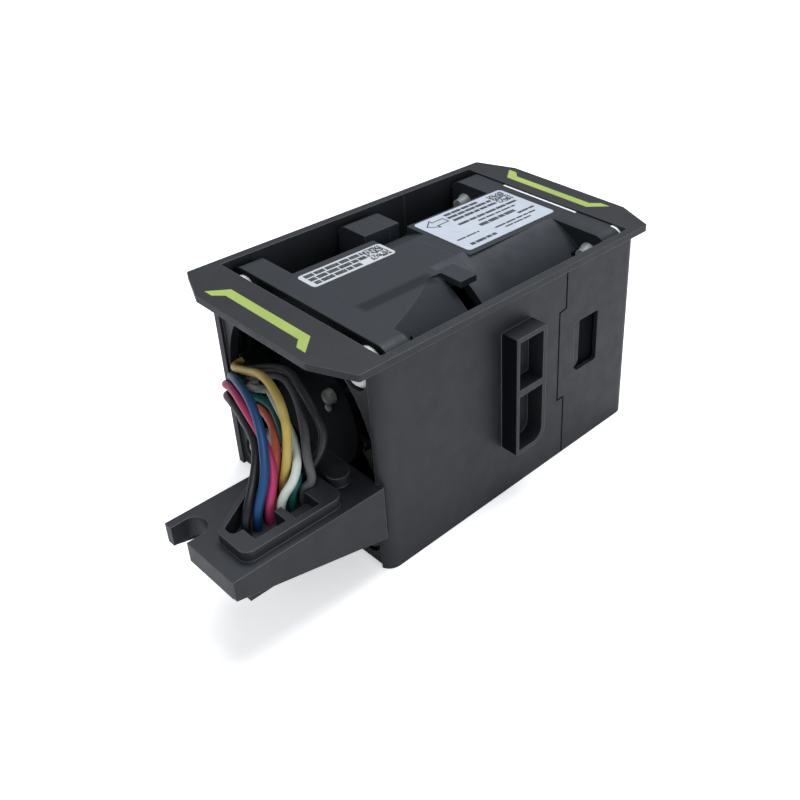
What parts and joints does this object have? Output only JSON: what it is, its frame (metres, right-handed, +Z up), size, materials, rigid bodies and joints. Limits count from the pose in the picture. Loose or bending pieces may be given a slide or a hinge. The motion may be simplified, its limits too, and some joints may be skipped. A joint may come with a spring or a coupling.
{
  "type": "server fan module",
  "caption": "Hot-swap cooling module: two axial fans in line in a plastic sleeve, with a cable tongue, blind-mate connector and a latch hook.",
  "frame": {"origin": "bottom centre of the whole module, on the plane it stands on", "axes": "+Y towards the air inlet, away from the cable tongue; +Z up, out of the chassis; +X to the side of the tongue"},
  "size_m": [0.0496, 0.0944, 0.0406],
  "materials": {
    "shell_plastic": "satin charcoal moulded plastic",
    "lime_inlay": "satin lime plastic",
    "frame_plastic": "satin dark grey glass-filled plastic",
    "impeller_plastic": "satin black plastic",
    "silicone": "translucent white silicone rubber",
    "gasket_foam": "matt white foam",
    "label_paper": "satin printed film",
    "connector_plastic": "matt black nylon",
    "contact_brass": "plated contact",
    "yoke_steel": "drawn steel",
    "magnet": "bonded magnet",
    "shaft_steel": "ground steel",
    "bearing_steel": "polished bearing steel",
    "spring_steel": "spring steel",
    "core_steel": "laminated silicon steel",
    "copper": "enamelled copper wire",
    "board_green": "green circuit board",
    "lead_black": "satin insulation",
    "lead_magenta": "satin insulation",
    "lead_blue": "satin insulation",
    "lead_orange": "satin insulation",
    "lead_teal": "satin insulation",
    "lead_yellow": "satin insulation",
    "lead_white": "satin insulation",
    "lead_grey": "satin insulation"
  },
  "bodies": {
    "root": {"connector_contacts": "contact_brass", "connector_housing": "connector_plastic", "front_bearing_outer_rings": "bearing_steel", "front_driver_board": "board_green", "front_fan_frame": "frame_plastic", "front_isolators": "silicone", "front_shell": "shell_plastic", "front_stator_core": "core_steel", "front_stator_windings": "copper", "front_stripe": "lime_inlay", "lead_black_inner": "lead_black", "lead_black_outer": "lead_black", "lead_blue": "lead_blue", "lead_charcoal": "lead_black", "lead_grey": "lead_grey", "lead_magenta": "lead_magenta", "lead_orange": "lead_orange", "lead_teal": "lead_teal", "lead_white": "lead_white", "lead_yellow": "lead_yellow", "rating_label": "label_paper", "rear_bearing_outer_rings": "bearing_steel", "rear_driver_board": "board_green", "rear_fan_frame": "frame_plastic", "rear_gasket": "gasket_foam", "rear_isolators": "silicone", "rear_shell": "shell_plastic", "rear_stator_core": "core_steel", "rear_stator_windings": "copper", "rear_stripe": "lime_inlay", "serial_label": "label_paper"},
    "front_rotor": {"front_bearing_inner_rings": "bearing_steel", "front_impeller": "impeller_plastic", "front_magnet_ring": "magnet", "front_preload_spring": "spring_steel", "front_retaining_clip": "spring_steel", "front_rotor_yoke": "yoke_steel", "front_shaft": "shaft_steel"},
    "rear_rotor": {"rear_bearing_inner_rings": "bearing_steel", "rear_impeller": "impeller_plastic", "rear_magnet_ring": "magnet", "rear_preload_spring": "spring_steel", "rear_retaining_clip": "spring_steel", "rear_rotor_yoke": "yoke_steel", "rear_shaft": "shaft_steel"}
  },
  "joints": [
    {"name": "front_impeller_spin", "type": "hinge", "parent": "root", "child": "front_rotor", "pos_m": [0, -0.00365, 0.0202], "axis": [0, 1, 0], "continuous": true},
    {"name": "rear_impeller_spin", "type": "hinge", "parent": "root", "child": "rear_rotor", "pos_m": [0, 0.02635, 0.0202], "axis": [0, 1, 0], "continuous": true}
  ]
}
